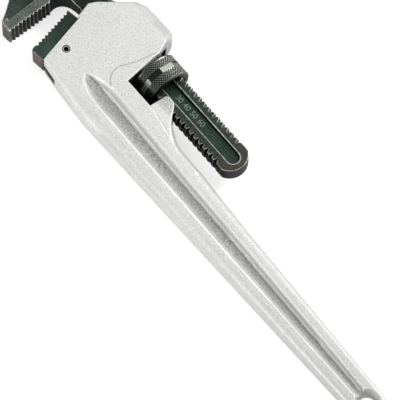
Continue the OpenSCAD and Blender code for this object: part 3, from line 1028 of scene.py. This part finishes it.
@dataclass
class AdjustingNut:
    """The knurled nut.

    Its diamond points stand in rows, a pitch apart along the axis, between the plain ends and the middle groove. The
    knurled skin stays just inside the solid's round face, and clear of the groove's flats, which the solid gives.
    """

    low_x: float = 336.4
    length: float = 24.6
    radius: float = 22.4
    axis_y: float = SHANK_Y
    groove_width: float = 5.6
    groove_depth: float = 1.3
    knurl_depth: float = 0.75
    points_round: int = 120
    knurl_pitch: float = 1.17
    plain_end: float = 1.4
    skin_inset: float = 0.02
    groove_clear: float = 1.0
    face_slack: float = 0.1
    smooth_deg: float = 25

    @property
    def middle(self) -> float:
        """Middle of the nut along its axis."""
        return self.low_x + self.length / 2

    def build(self, finishes: Finishes) -> None:
        """Builds the nut from its bored solid and a knurled skin.

        Args:
            finishes: the wrench's finishes.
        """
        piece = solid_copy("adjusting_nut", "adjusting_nut_knurled")
        skin = self.knurled_skin()
        apply_modifier(piece, "BOOLEAN", operation="INTERSECT", solver="EXACT", object=skin)
        bpy.data.objects.remove(skin)
        activate(piece)
        bpy.ops.object.shade_smooth_by_angle(angle=math.radians(self.smooth_deg))
        self.flatten_groove(piece)
        dress(piece, finishes.nut, "nut_steel", Body.NUT, "adjusting_nut")

    def flatten_groove(self, piece: bpy.types.Object) -> None:
        """Shades the flats of the groove as plane faces.

        Args:
            piece: the nut, active.
        """
        bpy.ops.object.mode_set(mode="EDIT")
        bpy.ops.mesh.select_mode(type="FACE")
        bpy.ops.mesh.select_all(action="DESELECT")
        bpy.ops.object.mode_set(mode="OBJECT")
        for face in piece.data.polygons:
            outward = math.hypot(face.center.y / MM - self.axis_y, face.center.z / MM)
            in_groove = abs(face.center.x / MM - self.middle) < self.groove_width / 2 + self.face_slack
            face.select = in_groove and outward > self.radius - 2 * self.groove_depth
        bpy.ops.object.mode_set(mode="EDIT")
        bpy.ops.mesh.faces_shade_flat()
        bpy.ops.object.mode_set(mode="OBJECT")

    def knurled_skin(self) -> bpy.types.Object:
        """Makes a closed barrel whose two bands carry diamond points.

        Returns:
            The barrel, in place.
        """
        deselect()
        rows = round(self.length / self.knurl_pitch)
        bpy.ops.mesh.primitive_cylinder_add(
            vertices=self.points_round,
            radius=self.radius * MM,
            depth=self.length * MM,
            location=(self.middle * MM, self.axis_y * MM, 0),
            rotation=(0, math.radians(90), 0),
        )
        skin = bpy.context.object
        bpy.ops.object.transform_apply(location=True, rotation=True, scale=True)
        bpy.ops.object.mode_set(mode="EDIT")
        for row in range(1, rows):
            bpy.ops.mesh.select_all(action="SELECT")
            bpy.ops.mesh.bisect(plane_co=((self.low_x + self.length * row / rows) * MM, 0, 0), plane_no=(1, 0, 0))
        bpy.ops.object.mode_set(mode="OBJECT")
        self.raise_points(skin, rows)
        bpy.ops.object.mode_set(mode="EDIT")
        bpy.ops.mesh.select_all(action="SELECT")
        bpy.ops.mesh.quads_convert_to_tris(quad_method="SHORTEST_DIAGONAL")
        bpy.ops.object.mode_set(mode="OBJECT")
        return skin

    def raise_points(self, skin: bpy.types.Object, rows: int) -> None:
        """Lowers every second point of the bands, so that diamonds stand between them.

        Args:
            skin: barrel with rows of points along its axis.
            rows: number of rows between its ends.
        """
        for vertex in skin.data.vertices:
            offset = Vector((0, vertex.co.y - self.axis_y * MM, vertex.co.z))
            turn = math.atan2(offset.z, offset.y) / (2 * math.pi) * self.points_round
            row = (vertex.co.x / MM - self.low_x) / self.length * rows
            from_end = min(vertex.co.x / MM - self.low_x, self.low_x + self.length - vertex.co.x / MM)
            in_groove = abs(vertex.co.x / MM - self.middle) < self.groove_width / 2
            lowered = (round(turn) + round(row)) % 2 and not in_groove and from_end > self.plain_end
            radius = self.radius - (self.knurl_depth if lowered else self.skin_inset)
            if in_groove:
                radius = self.radius + self.groove_clear
            offset.normalize()
            vertex.co.y = self.axis_y * MM + offset.y * radius * MM
            vertex.co.z = offset.z * radius * MM


@dataclass
class Springs:
    """The coil spring in its pocket, and the leaf spring with its rivet.

    When the shank has rocked all the way, the coil would keep the share pressed of its height; pressed is not used.
    """

    coil_x: float = 392.0
    coil_low_y: float = -38.6
    coil_high_y: float = -24.4
    coil_radius: float = 4.0
    wire_radius: float = 0.65
    wire_sides: int = 12
    turns: int = 6
    steps_per_turn: int = 32
    pressed: float = 0.87
    bevel_mm: float = 0.15

    def build(self, finishes: Finishes) -> None:
        """Builds both springs and the rivet.

        Args:
            finishes: the wrench's finishes.
        """
        coil = self.coil()
        # The spring stays upright in its pocket, carried by the frame; it isn't shortened when the rocking shank
        # presses it towards the pocket's floor
        dress(coil, finishes.spring, "spring_steel", Body.FRAME, "coil_spring")
        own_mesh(coil)
        leaf = solid_copy("flat_spring", "flat_spring_leaf")
        crisp(leaf, self.bevel_mm)
        dress(leaf, finishes.spring, "spring_steel", Body.FRAME, "flat_spring")
        rivet = solid_copy("flat_spring_rivet", "flat_spring_rivet_set")
        crisp(rivet, self.bevel_mm)
        dress(rivet, finishes.rivet, "pin_steel", Body.FRAME, "flat_spring_rivet")

    def coil(self) -> bpy.types.Object:
        """Winds the coil spring from a round section.

        Returns:
            The coil, with closed wire ends.
        """
        deselect()
        low_y = (self.coil_low_y + self.wire_radius) * MM
        bpy.context.scene.cursor.location = (self.coil_x * MM, low_y, 0)
        bpy.ops.mesh.primitive_circle_add(
            vertices=self.wire_sides,
            radius=self.wire_radius * MM,
            fill_type="NGON",
            location=((self.coil_x + self.coil_radius) * MM, low_y, 0),
        )
        coil = bpy.context.object
        coil.name = "coil_spring_wound"
        bpy.ops.object.origin_set(type="ORIGIN_CURSOR")
        rise = (self.coil_high_y - self.coil_low_y - 2 * self.wire_radius) / self.turns
        apply_modifier(
            coil,
            "SCREW",
            axis="Y",
            angle=2 * math.pi * self.turns,
            screw_offset=rise * self.turns * MM,
            steps=self.steps_per_turn * self.turns,
            render_steps=self.steps_per_turn * self.turns,
            use_merge_vertices=False,
        )
        activate(coil)
        bpy.ops.object.transform_apply(location=True, rotation=True, scale=True)
        close_skin(coil)
        bpy.ops.object.shade_smooth()
        bpy.context.scene.cursor.location = (0, 0, 0)
        return coil


@dataclass
class Studio:
    """Camera, floor, world and lamps.

    The target and the floor's height are in millimetres, and what lies further off is in metres. Each lamp has a
    place, a size and a power.
    """

    target: tuple[float, float, float] = (238.5, -9.83, 0.0)
    azimuth: float = 231.0
    elevation: float = 66.0
    distance: float = 4.0
    lens: float = 414.0
    sensor: float = 36.0
    clip_end: float = 50.0
    floor_z: float = -22.6
    floor_x: float = 0.2
    floor_size: float = 30
    floor_glow: float = 0.6
    lamps: list[tuple[tuple[float, float, float], float, float]] = field(
        default_factory=lambda: [((0.1, -1.6, 1.13), 0.8, 36.0), ((0.1, 1.68, 0.3), 0.9, 24.0)]
    )
    fill: float = 0.36

    def build(self) -> None:
        """Sets up the view, the light and the floor."""
        self.camera()
        self.world()
        for place, size, power in self.lamps:
            self.lamp(Vector(place), size, power)
        self.floor()
        bpy.context.scene.view_settings.view_transform = "Standard"

    def camera(self) -> None:
        """Adds the long-lens camera."""
        turn, lift = math.radians(self.azimuth), math.radians(self.elevation)
        back = Vector((math.sin(turn) * math.cos(lift), -math.cos(turn) * math.cos(lift), math.sin(lift)))
        right = Vector((math.cos(turn), math.sin(turn), 0))
        upward = back.cross(right)
        place = Vector(self.target) * MM + back * self.distance
        data = bpy.data.cameras.new("camera")
        data.lens = self.lens
        data.sensor_width = self.sensor
        data.clip_end = self.clip_end
        camera = bpy.data.objects.new("camera", data)
        bpy.context.scene.collection.objects.link(camera)
        camera.matrix_world = Matrix.Translation(place) @ Matrix((right, upward, back)).transposed().to_4x4()
        bpy.context.scene.camera = camera

    def world(self) -> None:
        """Makes a plain world: white to the camera, the metal and glass, and a weak fill to the rest."""
        world = bpy.data.worlds.new("studio")
        bpy.context.scene.world = world
        world.use_nodes = True
        tree = world.node_tree
        tree.nodes.clear()
        path = add_node(tree, "ShaderNodeLightPath")
        seen = path.outputs["Is Camera Ray"]
        for ray in ("Is Glossy Ray", "Is Transmission Ray"):
            seen = add_node(tree, "ShaderNodeMath", {0: seen, 1: path.outputs[ray]}, operation="MAXIMUM").outputs[0]
        strength = add_node(tree, "ShaderNodeMapRange", {"Value": seen, "To Min": self.fill, "To Max": 1.0})
        background = add_node(
            tree, "ShaderNodeBackground", {"Color": linear("FFFFFF"), "Strength": strength.outputs[0]}
        )
        add_node(tree, "ShaderNodeOutputWorld", {"Surface": background.outputs[0]})

    def lamp(self, place: Vector, size: float, power: float) -> None:
        """Adds one soft square lamp aimed at the wrench.

        Args:
            place: where it hangs, in metres.
            size: its side, in metres.
            power: its power, in watts.
        """
        data = bpy.data.lights.new("softbox", "AREA")
        data.size = size
        data.energy = power
        lamp = bpy.data.objects.new("softbox", data)
        bpy.context.scene.collection.objects.link(lamp)
        lamp.location = place
        aim = Vector(self.target) * MM - place
        lamp.rotation_euler = aim.to_track_quat("-Z", "Y").to_euler()

    def floor(self) -> None:
        """Lays a plain pale floor that keeps the soft shadow."""
        deselect()
        bpy.ops.mesh.primitive_plane_add(size=self.floor_size, location=(self.floor_x, 0, self.floor_z * MM))
        floor = bpy.context.object
        floor.name = "floor"
        material = bpy.data.materials.new("pale_floor")
        material.use_nodes = True
        tree = material.node_tree
        tree.nodes.clear()
        path = add_node(tree, "ShaderNodeLightPath")
        matt = add_node(tree, "ShaderNodeBsdfDiffuse", {"Color": linear("F4F4F3")})
        glow = add_node(tree, "ShaderNodeEmission", {"Color": linear("FFFFFF"), "Strength": self.floor_glow})
        dim = add_node(tree, "ShaderNodeEmission", {"Color": linear("000000"), "Strength": 0.0})
        lift = add_node(
            tree, "ShaderNodeMixShader", {0: path.outputs["Is Camera Ray"], 1: dim.outputs[0], 2: glow.outputs[0]}
        )
        whole = add_node(tree, "ShaderNodeAddShader", {0: matt.outputs[0], 1: lift.outputs[0]})
        add_node(tree, "ShaderNodeOutputMaterial", {"Surface": whole.outputs[0]})
        floor.data.materials.append(material)


def main() -> None:
    """Builds the wrench and its studio."""
    logging.basicConfig(level=logging.INFO, format="%(message)s")
    finishes = Finishes()
    for part in (Casting(), HeelJaw(), HookJaw(), AdjustingNut(), Springs()):
        part.build(finishes)
    Studio().build()
    deselect()


if __name__ == "__main__":
    main()
